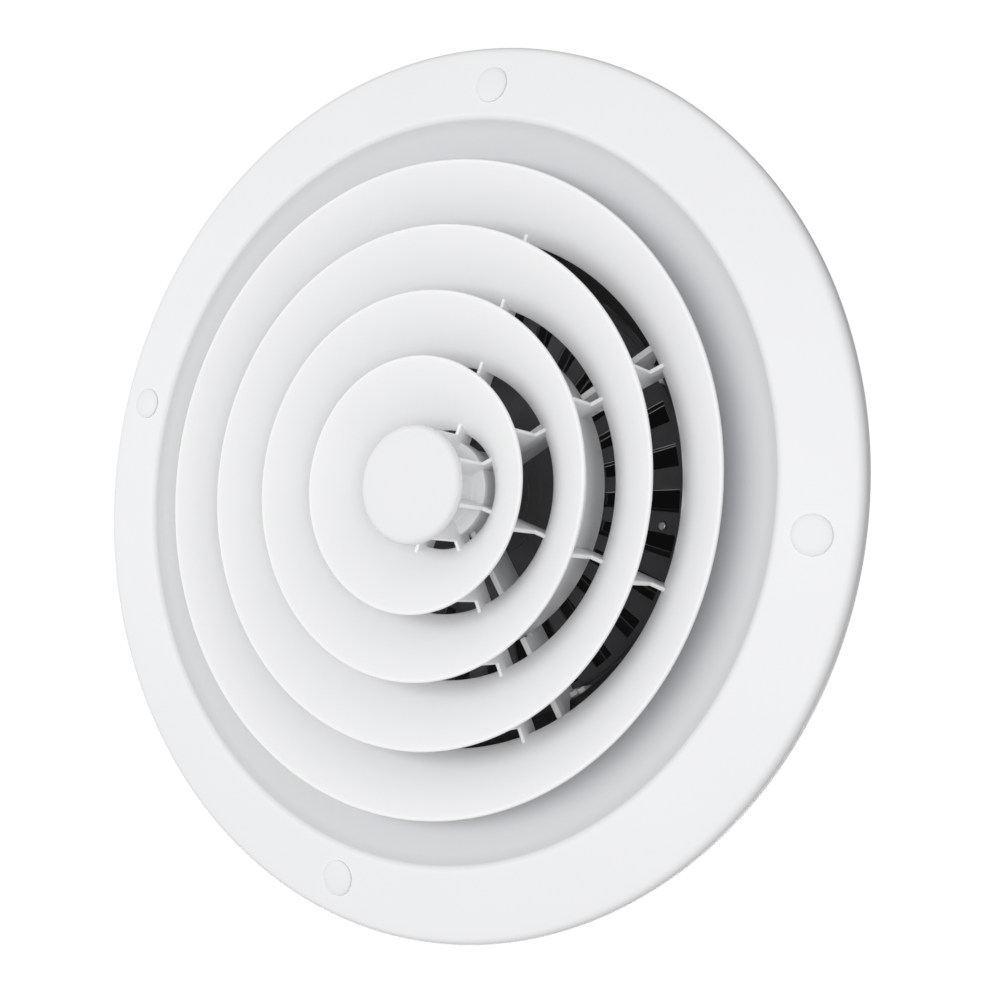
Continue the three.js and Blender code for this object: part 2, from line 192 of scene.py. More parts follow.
def tint_where(nodes, links, shader, inside, colour):
    """Lay another colour over the shader's own where the factor is 1."""
    plain = shader.inputs["Base Color"].links[0].from_socket
    node = nodes.new("ShaderNodeMix")
    node.data_type = "RGBA"
    node.inputs["B"].default_value = (*colour, 1)
    links.new(inside, node.inputs["Factor"])
    links.new(plain, node.inputs["A"])
    links.new(node.outputs["Result"], shader.inputs["Base Color"])


def frame_plastic(name):
    """White flange, with painted shade: a greyer band in the recess round the outer cone, and near black
    on the inside of the shoulder and neck.
    """
    material = moulded_plastic(name, FLANGE_WHITE_PAINTED_SHADE, FLANGE_FLOW_TONE_PAINTED_SHADE, SATIN, FINE_GRAIN, SHALLOW)
    nodes, links = material.node_tree.nodes, material.node_tree.links
    shader = nodes["Principled BSDF"]
    radius, height, facing = add_place(nodes, links)
    # Painted shade in the recess: a greyer band on the room-side faces inside the opening, where the outer
    # cone shades them.
    recess = map_range(nodes, links, radius, 1.0, 0.0, RECESS_EDGE - RECESS_BLEND, RECESS_EDGE)
    room_side = map_range(nodes, links, facing, 1.0, 0.0, 0.0, 0.1)
    both = nodes.new("ShaderNodeMath")
    both.operation = "MULTIPLY"
    links.new(recess, both.inputs[0])
    links.new(room_side, both.inputs[1])
    tint_where(nodes, links, shader, both.outputs["Value"], RECESS_PAINTED_SHADE)
    # Painted shade deep in the duct: inside the shoulder and neck the white is darkened to near black.
    low, high = (BELL_TOP[1] + CEILING.z, NECK_LOW + CEILING.z)
    wide, narrow = BELL_TOP[0] + SHEET / 2, NECK_RADIUS + SHEET / 2
    middle = map_range(nodes, links, height, wide, narrow, low, high)
    within = nodes.new("ShaderNodeMath")
    within.operation = "LESS_THAN"
    links.new(radius, within.inputs[0])
    links.new(middle, within.inputs[1])
    tint_where(nodes, links, shader, within.outputs["Value"], NECK_PAINTED_SHADE)
    return material


def zinc_steel(name):
    """Zinc-plated steel: bright metal with cloudy plating and fine turning lines."""
    material, nodes, links = new_material(name)
    shader = nodes["Principled BSDF"]
    shader.inputs["Metallic"].default_value = 1.0
    cloud = add_noise(nodes, links, 260.0, 4.0)
    tint = map_range(nodes, links, cloud, 0.0, 1.0)
    colour = mix_colour(nodes, links, tint, (0.42, 0.43, 0.44), (0.66, 0.67, 0.68))
    links.new(colour, shader.inputs["Base Color"])
    links.new(map_range(nodes, links, cloud, 0.25, 0.42), shader.inputs["Roughness"])
    add_bump(nodes, links, shader, add_noise(nodes, links, 2400.0, 2.0), 0.00002)
    return material


def seal_rubber(name):
    """Black rubber with a dry bloom."""
    material, nodes, links = new_material(name)
    shader = nodes["Principled BSDF"]
    bloom = add_noise(nodes, links, 120.0, 5.0)
    tint = map_range(nodes, links, bloom, 0.0, 1.0)
    colour = mix_colour(nodes, links, tint, (0.018, 0.018, 0.019), (0.045, 0.045, 0.047))
    links.new(colour, shader.inputs["Base Color"])
    links.new(map_range(nodes, links, bloom, 0.6, 0.8), shader.inputs["Roughness"])
    add_bump(nodes, links, shader, add_noise(nodes, links, 1800.0, 2.0), 0.00004)
    return material


def open_foam(name):
    """Grey open-cell foam strip."""
    material, nodes, links = new_material(name)
    shader = nodes["Principled BSDF"]
    place = nodes.new("ShaderNodeTexCoord")
    cells = nodes.new("ShaderNodeTexVoronoi")
    cells.inputs["Scale"].default_value = 1100.0
    links.new(place.outputs["Object"], cells.inputs["Vector"])
    pore = cells.outputs["Distance"]
    # Painted shade: each cell darkens towards its middle, where the bump sinks it into a pit.
    tint = map_range(nodes, links, pore, 0.0, 1.0, 0.0, 0.7)
    colour = mix_colour(nodes, links, tint, (0.05, 0.052, 0.054), (0.2, 0.205, 0.21))
    links.new(colour, shader.inputs["Base Color"])
    shader.inputs["Roughness"].default_value = 0.95
    add_bump(nodes, links, shader, pore, 0.0004)
    return material


# Painted light: the cones, hub and ribs take a lighter copy of the white than the flange and caps, to lift
# the shade in their deep parts and under the knob.
WHITE_PAINTED_LIGHT = moulded_plastic(
    "white_abs", (0.94, 0.944, 0.95), (0.925, 0.93, 0.937), SATIN, FINE_GRAIN, SHALLOW)
# The frame's material holds painted shade: the darker flange white, the greyed recess and the near-black
# neck inside.
FRAME_WHITE_PAINTED_SHADE = frame_plastic("frame_abs_painted_shade")
# Painted shade: the knob takes a darker copy of the white, because its face takes the key light square on.
KNOB_WHITE_PAINTED_SHADE = moulded_plastic(
    "knob_abs_painted_shade", (0.85, 0.855, 0.862), (0.835, 0.84, 0.848), SATIN, FINE_GRAIN, SHALLOW)
# Painted shade: the caps take the flange's darker copy of the white.
CAP_WHITE_PAINTED_SHADE = moulded_plastic(
    "cap_abs", (0.87, 0.875, 0.882), (0.855, 0.86, 0.868), 0.44, FINE_GRAIN, SHALLOW)
PALE_GREY = moulded_plastic(
    "pale_grey_abs", (0.91, 0.92, 0.93), (0.87, 0.88, 0.89), SATIN, 700.0, 0.00003)
STATOR_GREY = moulded_plastic(
    "stator_grey", (0.11, 0.112, 0.115), (0.075, 0.076, 0.079), 0.5, COARSE_GRAIN, DEEP)
# Painted shade: the rotor is the stator's shutter plastic painted near black, for the shade its blades lie
# in above the stator.
ROTOR_PAINTED_SHADE = moulded_plastic(
    "rotor_painted_shade", (0.03, 0.03, 0.031), (0.02, 0.02, 0.021), 0.55, COARSE_GRAIN, DEEP)
NYLON = moulded_plastic(
    "glide_nylon", (0.74, 0.73, 0.68), (0.66, 0.65, 0.6), 0.45, FINE_GRAIN, SHALLOW)
STEEL = zinc_steel("zinc_steel")
RUBBER = seal_rubber("seal_rubber")
FOAM = open_foam("foam")


# ---------------------------------------------------------------- mesh helpers
def make_object(name, vertices, faces, sharp_degrees=35):
    mesh = bpy.data.meshes.new(name)
    mesh.from_pydata([tuple(v) for v in vertices], [], faces)
    obj = bpy.data.objects.new(name, mesh)
    bpy.context.scene.collection.objects.link(obj)
    tidy_normals(obj, sharp_degrees)
    return obj


def object_from(name, work):
    """A new object in the scene from a worked mesh, which is then let go."""
    mesh = bpy.data.meshes.new(name)
    work.to_mesh(mesh)
    work.free()
    obj = bpy.data.objects.new(name, mesh)
    bpy.context.scene.collection.objects.link(obj)
    return obj


def tidy_normals(obj, sharp_degrees=35):
    """Faces point out, small angles shade smooth and real edges stay sharp."""
    work = bmesh.new()
    work.from_mesh(obj.data)
    bmesh.ops.remove_doubles(work, verts=work.verts, dist=1e-7)
    bmesh.ops.recalc_face_normals(work, faces=work.faces)
    work.to_mesh(obj.data)
    work.free()
    obj.data.shade_smooth()
    obj.data.set_sharp_from_angle(angle=math.radians(sharp_degrees))
    obj.data.update()


def rounded(corners, arc_steps=5):
    """A line of (radius, height, fillet) corners as points, with each fillet drawn as an arc."""
    points = []
    for i, (x, y, fillet) in enumerate(corners):
        here = Vector((x, y))
        if fillet <= 0 or i in (0, len(corners) - 1):
            points.append(here)
            continue
        before = (Vector(corners[i - 1][:2]) - here).normalized()
        after = (Vector(corners[i + 1][:2]) - here).normalized()
        half = math.acos(max(-1, min(1, before.dot(after)))) / 2
        back = fillet / math.tan(half)
        middle = here + (before + after).normalized() * fillet / math.sin(half)
        start = here + before * back - middle
        end = here + after * back - middle
        for step in range(arc_steps + 1):
            points.append(middle + start.slerp(end, step / arc_steps) * fillet)
    return points


def closed_profile(corners, arc_steps=4):
    """A closed loop of (radius, height, fillet) corners, every corner rounded."""
    first, last = corners[0], corners[-1]
    line = rounded([last, *corners, first], arc_steps)
    return line[1:-1]


def half_round(centre, side, forward, radius, steps=6):
    """Points of a half circle that starts at side, passes forward and ends opposite side."""
    angles = [math.pi * i / steps for i in range(1, steps)]
    return [centre + side * radius * math.cos(a) + forward * radius * math.sin(a) for a in angles]


def shell_profile(line, thickness):
    """Both faces of a sheet that follows an open line, joined by half-round edges."""
    last = len(line) - 1
    along = [(line[min(i + 1, last)] - line[max(i - 1, 0)]).normalized() for i in range(last + 1)]
    normals = [Vector((d.y, -d.x)) for d in along]
    far = [point + normal * thickness for point, normal in zip(line, normals)]
    half = thickness / 2
    end_cap = half_round((line[-1] + far[-1]) / 2, -normals[-1], along[-1], half)
    start_cap = half_round((line[0] + far[0]) / 2, normals[0], -along[0], half)
    return [*line, *end_cap, *reversed(far), *start_cap]


def spin(name, profile, steps=ROUND_STEPS, sharp_degrees=35):
    """A (radius, height) loop turned about Z: closed on itself, or open with both ends on the axis.
    profile is a list of points, or a function of the angle that gives one."""
    shape_at = profile if callable(profile) else lambda angle: profile
    start = shape_at(0)
    on_axis = start[0][0] < 1e-9 and start[-1][0] < 1e-9
    count = len(start) - 2 if on_axis else len(start)
    vertices = []
    for step in range(steps):
        angle = 2 * math.pi * step / steps
        loop = shape_at(angle)[1:-1] if on_axis else shape_at(angle)
        c, s = math.cos(angle), math.sin(angle)
        vertices += [(p[0] * c, p[0] * s, p[1]) for p in loop]
    faces = []
    for step in range(steps):
        here, there = step * count, ((step + 1) % steps) * count
        for i in range(count - 1 if on_axis else count):
            j = (i + 1) % count
            faces.append((here + i, here + j, there + j, there + i))
    if on_axis:
        for point, ring in ((start[0], 0), (start[-1], count - 1)):
            tip = len(vertices)
            vertices.append((0, 0, point[1]))
            for step in range(steps):
                faces.append((tip, step * count + ring, ((step + 1) % steps) * count + ring))
    return make_object(name, vertices, faces, sharp_degrees)


def square_radius(half_width, angle):
    """Distance from the middle of a square to its side, at an angle."""
    return half_width / max(abs(math.cos(angle)), abs(math.sin(angle)))


def block(name, low, high, bevel):
    """A box with rounded edges."""
    work = bmesh.new()
    bmesh.ops.create_cube(work, size=1)
    size = Vector(high) - Vector(low)
    middle = (Vector(high) + Vector(low)) / 2
    bmesh.ops.scale(work, vec=size, verts=work.verts)
    bmesh.ops.translate(work, vec=middle, verts=work.verts)
    bmesh.ops.bevel(work, geom=work.edges[:], offset=bevel, segments=3, profile=0.5, affect="EDGES")
    obj = object_from(name, work)
    tidy_normals(obj)
    return obj


def turn(obj, angle):
    obj.data.transform(Matrix.Rotation(angle, 4, "Z"))
    return obj


def move(obj, offset):
    obj.data.transform(Matrix.Translation(offset))
    return obj


def join(name, objects, sharp_degrees=35):
    """One object from several closed shells, which may touch or cross and aren't merged."""
    work = bmesh.new()
    for obj in objects:
        work.from_mesh(obj.data)
        old = obj.data
        bpy.data.objects.remove(obj)
        bpy.data.meshes.remove(old)
    result = object_from(name, work)
    result.data.shade_smooth()
    result.data.set_sharp_from_angle(angle=math.radians(sharp_degrees))
    return result


def finish_piece(obj, body, material, slot, *nodes):
    """Give a piece its material, its body and the CAD nodes it stands for."""
    obj.data.transform(Matrix.Translation(CEILING))
    obj.data.materials.clear()
    obj.data.materials.append(material)
    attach(obj, body)
    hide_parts(*nodes)
    return obj


def quadratic(start, bend, end, steps):
    points = []
    for i in range(steps + 1):
        t = i / steps
        a, b, c = (1 - t) ** 2, 2 * t * (1 - t), t * t
        points.append(Vector(start) * a + Vector(bend) * b + Vector(end) * c)
    return points


# ---------------------------------------------------------------- frame
PATCH_IN = 151.5 * MM
PATCH_OUT = 168.5 * MM
PATCH_STEPS = 3
COUNTERBORE_RADIUS = 6.25 * MM
COUNTERBORE_FLOOR = -4.2 * MM
SCREW_HOLE_RADIUS = 2.6 * MM
BOSS_RADIUS = 7.5 * MM


def screw_seat(work, node, shell_faces):
    """Open the flange round one screw and build its countersunk seat, hole and boss as one wall."""
    middle = centre_of(node).xy.to_3d()
    middle_angle = angle_of(node)
    half_window = (PATCH_STEPS + 0.1) * 2 * math.pi / ROUND_STEPS
    gone = []
    for face in shell_faces:
        centre = face.calc_center_median()
        across = math.hypot(centre.x, centre.y)
        away = (math.atan2(centre.y, centre.x) - middle_angle + math.pi) % (2 * math.pi) - math.pi
        if PATCH_IN < across < PATCH_OUT and abs(away) < half_window and abs(face.normal.z) > 0.99:
            gone.append(face)
    edges = {edge for face in gone for edge in face.edges}
    bmesh.ops.delete(work, geom=gone, context="FACES")
    rims = [edge for edge in edges if edge.is_valid and len(edge.link_faces) == 1]
    wall = [
        Vector((COUNTERBORE_RADIUS + 0.05 * MM, FACE_Z)),
        *rounded([
            (COUNTERBORE_RADIUS, FACE_Z + 0.1 * MM, 0),
            (COUNTERBORE_RADIUS, COUNTERBORE_FLOOR, 0.4 * MM),
            (SCREW_HOLE_RADIUS, COUNTERBORE_FLOOR, 0.3 * MM),
            (SCREW_HOLE_RADIUS, 0, 0.4 * MM),
            (BOSS_RADIUS - 0.1 * MM, 0, 0.5 * MM),
            (BOSS_RADIUS, FACE_Z + SHEET, 0)], 4),
    ]
    rings = []
    for radius, height in wall:
        ring = []
        for i in range(SMALL_STEPS):
            angle = 2 * math.pi * i / SMALL_STEPS
            offset = Vector((radius * math.cos(angle), radius * math.sin(angle), height))
            ring.append(work.verts.new(middle + offset))
        rings.append(ring)
    for low_ring, high_ring in zip(rings, rings[1:]):
        for i in range(SMALL_STEPS):
            j = (i + 1) % SMALL_STEPS
            work.faces.new((low_ring[i], low_ring[j], high_ring[j], high_ring[i]))
    for ring, level in ((rings[0], FACE_Z), (rings[-1], FACE_Z + SHEET)):
        around = [work.edges.get((ring[i], ring[(i + 1) % SMALL_STEPS])) for i in range(SMALL_STEPS)]
        border = [edge for edge in rims if abs(edge.verts[0].co.z - level) < 1e-5]
        bmesh.ops.triangle_fill(work, edges=around + border, use_beauty=True)


def build_frame():
    rim = rounded([
        (OUTER_RADIUS, -SHEET / 2, 0),
        (OUTER_RADIUS, FACE_Z, 3.2 * MM),
        (PATCH_OUT, FACE_Z, 0),
    ], 8)
    mouth = rounded([
        (PATCH_IN, FACE_Z, 0),
        (OPENING_RADIUS + 1.6 * MM, FACE_Z, 3.5 * MM),
        (OPENING_RADIUS - 1 * MM, FACE_Z + 2.1 * MM, 0),
    ], 6)
    bell = quadratic((OPENING_RADIUS - 1 * MM, FACE_Z + 2.1 * MM), (112 * MM, 6 * MM), BELL_TOP, 24)
    collar = rounded([
        (*BELL_TOP, 0),
        (NECK_RADIUS, NECK_LOW, 4 * MM),
        (NECK_RADIUS, NECK_TOP - SHEET / 2, 0),
    ], 6)
    line = [*rim, *mouth, *bell[1:], *collar[1:]]
    shell = spin("frame_shell", shell_profile(line, SHEET))
    work = bmesh.new()
    work.from_mesh(shell.data)
    work.normal_update()
    for number in range(1, 5):
        screw_seat(work, f"mounting_screw_{number}", list(work.faces))
    work.to_mesh(shell.data)
    work.free()
    tidy_normals(shell)
    finish_piece(shell, "frame", FRAME_WHITE_PAINTED_SHADE, "white_abs", "outer_frame")


def build_seals():
    inner, outer, low, high = ring_size("ceiling_gasket")
    strip = spin("gasket_strip", closed_profile([
        (inner, low, 0.6 * MM), (outer, low, 0.6 * MM), (outer, high, 0.8 * MM), (inner, high, 0.8 * MM)]))
    finish_piece(strip, "frame", FOAM, "foam", "ceiling_gasket")
    inner, outer, low, high = ring_size("duct_seal_ring")
    base = inner + 1.2 * MM
    fin = 0.45 * MM
    ring = spin("neck_seal", closed_profile([
        (inner, low, 0.2 * MM),
        (base, low, 0.4 * MM),
        (base + 0.3 * MM, low + 1.4 * MM, 0.3 * MM),
        (outer - 0.1 * MM, low + 0.4 * MM, fin * 0.45),
        (outer, low + 1.2 * MM, fin * 0.45),
        (base + 0.3 * MM, low + 3.2 * MM, 0.3 * MM),
        (base + 0.3 * MM, low + 4.4 * MM, 0.3 * MM),
        (outer - 0.3 * MM, low + 3.6 * MM, fin * 0.45),
        (outer - 0.2 * MM, low + 4.4 * MM, fin * 0.45),
        (base + 0.3 * MM, low + 6.2 * MM, 0.3 * MM),
        (base, high, 0.4 * MM),
        (inner, high, 0.2 * MM),
    ]))
    finish_piece(ring, "frame", RUBBER, "seal_rubber", "duct_seal_ring")


# ---------------------------------------------------------------- screws, caps and rivets
def threaded_shank(name, core, crest, pitch, bottom, top, tip):
    """A screw shank with a running helical thread and a drawn-out point."""
    around, rows = 40, int((tip - bottom) / pitch * 10)
    vertices, faces = [], []
    for row in range(rows + 1):
        z = bottom + (tip - bottom) * row / rows
        taper = 1.0 if z < top else max(0.02, (tip - z) / (tip - top))
        lead = min(1.0, (z - bottom) / (1.5 * pitch))
        for i in range(around):
            angle = 2 * math.pi * i / around
            phase = (z / pitch - i / around) % 1.0
            ridge = max(0.0, 1 - abs(phase - 0.5) / 0.3)
            radius = (core + (crest - core) * ridge * lead) * taper
            vertices.append((radius * math.cos(angle), radius * math.sin(angle), z))
    for row in range(rows):
        for i in range(around):
            j = (i + 1) % around
            here, above = row * around, (row + 1) * around
            faces.append((here + i, here + j, above + j, above + i))
    faces.append(tuple(range(around)))
    faces.append(tuple(rows * around + i for i in range(around)))
    return make_object(name, vertices, faces, 50)


# Driver cross in the screw head.
SLOT_REACH = 2.4 * MM
SLOT_HALF_WIDTH = 0.5 * MM
THREAD_CORE = 1.45 * MM
THREAD_CREST = 2.1 * MM
THREAD_PITCH = 1.6 * MM
THREAD_END = 24 * MM


def build_screw(node):
    centre = centre_of(node)
    low, high = cad_box(node)
    head_radius = (high.x - low.x) / 2
    seat = COUNTERBORE_FLOOR - 0.05 * MM
    floor = low.z + 1.3 * MM

    def cross_arm(angle):
        along = SLOT_REACH / max(abs(math.cos(angle)), 1e-6)
        beside = SLOT_HALF_WIDTH / max(abs(math.sin(angle)), 1e-6)
        return min(along, beside)

    def head_profile(angle):
        across = max(cross_arm(angle), cross_arm(angle + math.pi / 2))
        return [
            (0, floor),
            (across * 0.85, floor),
            (across, low.z),
            *rounded([
                (2.9 * MM, low.z, 0), (3.6 * MM, low.z, 1.0 * MM),
                (head_radius, seat - 0.9 * MM, 0.4 * MM), (head_radius, seat, 0.2 * MM),
                (2 * MM, seat, 0)], 4),
            (0, seat),
        ]

    head = spin("head", head_profile, 144)
    start = seat - 0.2 * MM
    shank = threaded_shank(
        "shank", THREAD_CORE, THREAD_CREST, THREAD_PITCH, start, THREAD_END, high.z)
    screw = join(node + "_fine", [head, shank], 45)
    move(screw, (centre.x, centre.y, 0))
    finish_piece(screw, "frame", STEEL, "zinc_steel", node)


def build_cap(node, body):
    centre = centre_of(node)
    low, high = cad_box(node)
    radius = (high.x - low.x) / 2
    seat = FACE_Z - 0.1 * MM
    plug = high.z
    cap = spin(node + "_fine", [
        (0, low.z),
        *rounded([
            (2 * MM, low.z + 0.02 * MM, 0),
            (5.4 * MM, low.z + 0.25 * MM, 5 * MM),
            (radius, low.z + 0.8 * MM, 0.45 * MM),
            (radius, seat, 0.15 * MM),
            (5.9 * MM, seat, 0.1 * MM),
            (5.7 * MM, plug, 0.4 * MM),
            (4.9 * MM, plug, 0.2 * MM),
            (4.9 * MM, seat + 0.2 * MM, 0.2 * MM),
            (2 * MM, seat + 0.2 * MM, 0),
        ], 4),
        (0, seat + 0.2 * MM),
    ], SMALL_STEPS)
    move(cap, (centre.x, centre.y, 0))
    finish_piece(cap, body, CAP_WHITE_PAINTED_SHADE, "cap_abs", node)


def build_wall_rivet(node):
    """A domed rivet through the neck wall, lying along a radius."""
    points = cad_points(node)
    angle = angle_of(node)
    along = points[:, 0] * math.cos(angle) + points[:, 1] * math.sin(angle)
    low, high = along.min(), along.max()
    height = centre_of(node).z
    wall = NECK_RADIUS + SHEET
    rivet = spin(node + "_fine", [
        (0, low),
        *rounded([
            (1.5 * MM, low, 0), (3.2 * MM, low, 0.4 * MM), (3.2 * MM, low + 1.3 * MM, 0.15 * MM),
            (1.95 * MM, low + 1.3 * MM, 0.1 * MM), (1.95 * MM, wall - 0.3 * MM, 0.1 * MM),
            (3.8 * MM, wall - 0.3 * MM, 0.2 * MM), (3.2 * MM, high - 0.7 * MM, 1.2 * MM),
            (1.2 * MM, high, 1.5 * MM), (0.6 * MM, high, 0)], 4),
        (0, high),
    ], 40)
    rivet.data.transform(Matrix.Rotation(math.pi / 2, 4, "Y"))
    move(rivet, (0, 0, height))
    turn(rivet, angle)
    finish_piece(rivet, "frame", STEEL, "zinc_steel", node)


# ---------------------------------------------------------------- bridge
def radial_bar(name, inner, outer, width, bottom, top, angle, bevel=0.4 * MM):
    bar = block(name, (inner, -width / 2, bottom), (outer, width / 2, top), bevel)
    return turn(bar, angle)


ARM_ANGLE = angle_of("bridge_rivet_1")
BRIDGE_LOW, BRIDGE_TOP = cad_box("neck_bridge")[0].z, cad_box("neck_bridge")[1].z
ARM_TOP = 38 * MM
RING_IN, RING_OUT, RING_LOW, RING_TOP = ring_size("core_ring")
RING_CLEARANCE = 1.5 * MM
ARM_WIDTH = 2.6 * MM
SHAFT_HOLE = 6.08 * MM


def upright_plate(name, outline, width, angle, bevel):
    """A plate standing on edge along a radius, from its (radius, height) outline."""
    work = bmesh.new()
    face = work.faces.new([work.verts.new((p[0], -width / 2, p[1])) for p in outline])
    made = bmesh.ops.extrude_face_region(work, geom=[face])
    raised = [v for v in made["geom"] if isinstance(v, bmesh.types.BMVert)]
    bmesh.ops.translate(work, vec=(0, width, 0), verts=raised)
    bmesh.ops.recalc_face_normals(work, faces=work.faces)
    edges = [e for e in work.edges if e.calc_face_angle() > math.radians(40)]
    bmesh.ops.bevel(
        work, geom=edges, offset=bevel, segments=2, profile=0.5, affect="EDGES", clamp_overlap=True)
    return turn(object_from(name, work), angle)


def build_bridge():
    pieces = []
    pieces.append(spin("skirt", closed_profile([
        (15.1 * MM, BRIDGE_LOW, 0.5 * MM), (18.5 * MM, BRIDGE_LOW, 0.8 * MM),
        (18.5 * MM, ARM_TOP, 1.2 * MM), (SHAFT_HOLE, ARM_TOP, 0.3 * MM),
        (SHAFT_HOLE, 34 * MM, 0.3 * MM), (15.1 * MM, 34 * MM, 0.8 * MM)]), 128))
    pad_out, pad_in = 96.5 * MM, 94.3 * MM
    notch = RING_TOP + RING_CLEARANCE / 2
    arm = [
        (17 * MM, ARM_TOP), (17 * MM, BRIDGE_LOW),
        (RING_IN - RING_CLEARANCE, BRIDGE_LOW), (RING_IN - RING_CLEARANCE, notch),
        (RING_OUT + RING_CLEARANCE, notch), (RING_OUT + RING_CLEARANCE, BRIDGE_LOW),
        (103.8 * MM, BRIDGE_LOW), (103.8 * MM, 25.4 * MM),
        (pad_out - 1 * MM, 33.4 * MM), (pad_out - 1 * MM, ARM_TOP),
    ]
    for quarter in range(4):
        angle = ARM_ANGLE + quarter * math.pi / 2
        web_out = pad_out - 0.2 * MM
        pieces.append(upright_plate("arm", arm, ARM_WIDTH, angle, 0.35 * MM))
        pieces.append(radial_bar("pad", pad_in, pad_out, 14 * MM, 36 * MM, BRIDGE_TOP, angle))
        pieces.append(radial_bar("web", pad_in, web_out, 8 * MM, 34.2 * MM, ARM_TOP, angle))
    bridge = join("bridge_fine", pieces)
    finish_piece(bridge, "frame", PALE_GREY, "pale_grey_abs", "neck_bridge")


# ---------------------------------------------------------------- shutter
SECTORS = 30
SLOT_IN = 52 * MM
SLOT_OUT = 89 * MM


def slotted_plate(name, inner, outer, slot_degrees, centre_degrees, bottom, thickness):
    """A flat disc with sector slots, its edges softly rounded."""
    slot = math.radians(slot_degrees)
    pitch = 2 * math.pi / SECTORS
    bar = pitch - slot
    angles = []
    for k in range(SECTORS):
        start = math.radians(centre_degrees) + k * pitch - slot / 2
        angles += [(start + slot * i / 4, True) for i in range(4)]
        angles += [(start + slot + bar * i / 4, False) for i in range(4)]
    radii = [inner, SLOT_IN, (SLOT_IN + SLOT_OUT) / 2, SLOT_OUT, outer]
    work = bmesh.new()
    grid = []
    for a, _ in angles:
        grid.append([work.verts.new((r * math.cos(a), r * math.sin(a), bottom)) for r in radii])
    for i, (_, open_here) in enumerate(angles):
        j = (i + 1) % len(angles)
        for k in range(len(radii) - 1):
            if open_here and k in (1, 2):
                continue
            work.faces.new((grid[i][k], grid[i][k + 1], grid[j][k + 1], grid[j][k]))
    loose = [v for v in work.verts if not v.link_faces]
    bmesh.ops.delete(work, geom=loose, context="VERTS")
    made = bmesh.ops.extrude_face_region(work, geom=work.faces[:])
    raised = [v for v in made["geom"] if isinstance(v, bmesh.types.BMVert)]
    bmesh.ops.translate(work, vec=(0, 0, thickness), verts=raised)
    bmesh.ops.recalc_face_normals(work, faces=work.faces)
    paired = [e for e in work.edges if len(e.link_faces) == 2]
    edges = [e for e in paired if e.calc_face_angle() > math.radians(50)]
    bmesh.ops.bevel(work, geom=edges, offset=0.35 * MM, segments=2, profile=0.5, affect="EDGES")
    obj = object_from(name, work)
    tidy_normals(obj)
    return obj


STATOR_LOW = 48 * MM
ROTOR_LOW = 57 * MM
PLATE = 2 * MM
SLOT_CENTRE_DEGREES = 3
ROTOR_REST_DEGREES = -1
STATOR_SLOT_DEGREES = 6
ROTOR_SLOT_DEGREES = 5.6
PLATE_HOLE = 8 * MM
RIM_IN, RIM_OUT, RIM_TOP = 94.5 * MM, 96.6 * MM, 63 * MM
STATOR_COLLAR = 11 * MM
ROTOR_HOLE, ROTOR_COLLAR = 6.04 * MM, 12 * MM
ROTOR_COLLAR_LOW, ROTOR_COLLAR_TOP = 51.2 * MM, 64 * MM


def build_stator():
    plate = slotted_plate(
        "plate", PLATE_HOLE, 95.2 * MM, STATOR_SLOT_DEGREES, SLOT_CENTRE_DEGREES, STATOR_LOW, PLATE)
    rim = spin("rim", closed_profile([
        (RIM_IN, STATOR_LOW + 0.1 * MM, 0.3 * MM), (RIM_OUT, STATOR_LOW, 0.8 * MM),
        (RIM_OUT, RIM_TOP, 0.6 * MM), (RIM_IN, RIM_TOP, 0.6 * MM)]))
    collar_low, collar_top = STATOR_LOW - 2 * MM, STATOR_LOW + PLATE
    collar = spin("collar", closed_profile([
        (SHAFT_HOLE, collar_low, 0.2 * MM), (STATOR_COLLAR, collar_low, 0.5 * MM),
        (STATOR_COLLAR, collar_top, 0.2 * MM), (SHAFT_HOLE, collar_top, 0.2 * MM)]), 96)
    beads = []
    for radius in (20 * MM, 26 * MM, 91.6 * MM):
        foot, crown = STATOR_LOW + 0.5 * MM, STATOR_LOW - 0.5 * MM
        beads.append(spin("bead", closed_profile([
            (radius - 0.8 * MM, foot, 0.1 * MM), (radius - 0.6 * MM, crown, 0.3 * MM),
            (radius + 0.6 * MM, crown, 0.3 * MM), (radius + 0.8 * MM, foot, 0.1 * MM),
        ])))
    stator = join("stator_fine", [plate, rim, collar, *beads])
    finish_piece(stator, "frame", STATOR_GREY, "shutter_grey", "shutter_stator")


def build_rotor():
    centre = SLOT_CENTRE_DEGREES + ROTOR_REST_DEGREES
    plate = slotted_plate(
        "plate", PLATE_HOLE, 92 * MM, ROTOR_SLOT_DEGREES, centre, ROTOR_LOW, PLATE)
    collar = spin("collar", closed_profile([
        (ROTOR_HOLE, ROTOR_COLLAR_LOW, 0.2 * MM), (ROTOR_COLLAR, ROTOR_COLLAR_LOW, 0.8 * MM),
        (ROTOR_COLLAR, ROTOR_COLLAR_TOP, 0.8 * MM), (ROTOR_HOLE, ROTOR_COLLAR_TOP, 0.2 * MM)]), 96)
    webs = []
    for k in range(6):
        angle = math.radians(centre + 6 + 60 * k)
        web_low = ROTOR_LOW + 1 * MM
        webs.append(radial_bar("web", 11.5 * MM, 27 * MM, 1.6 * MM, web_low, 62 * MM, angle))
    rotor = join("rotor_fine", [plate, collar, *webs])
    finish_piece(rotor, "rotor", ROTOR_PAINTED_SHADE, "shutter_grey", "shutter_rotor")


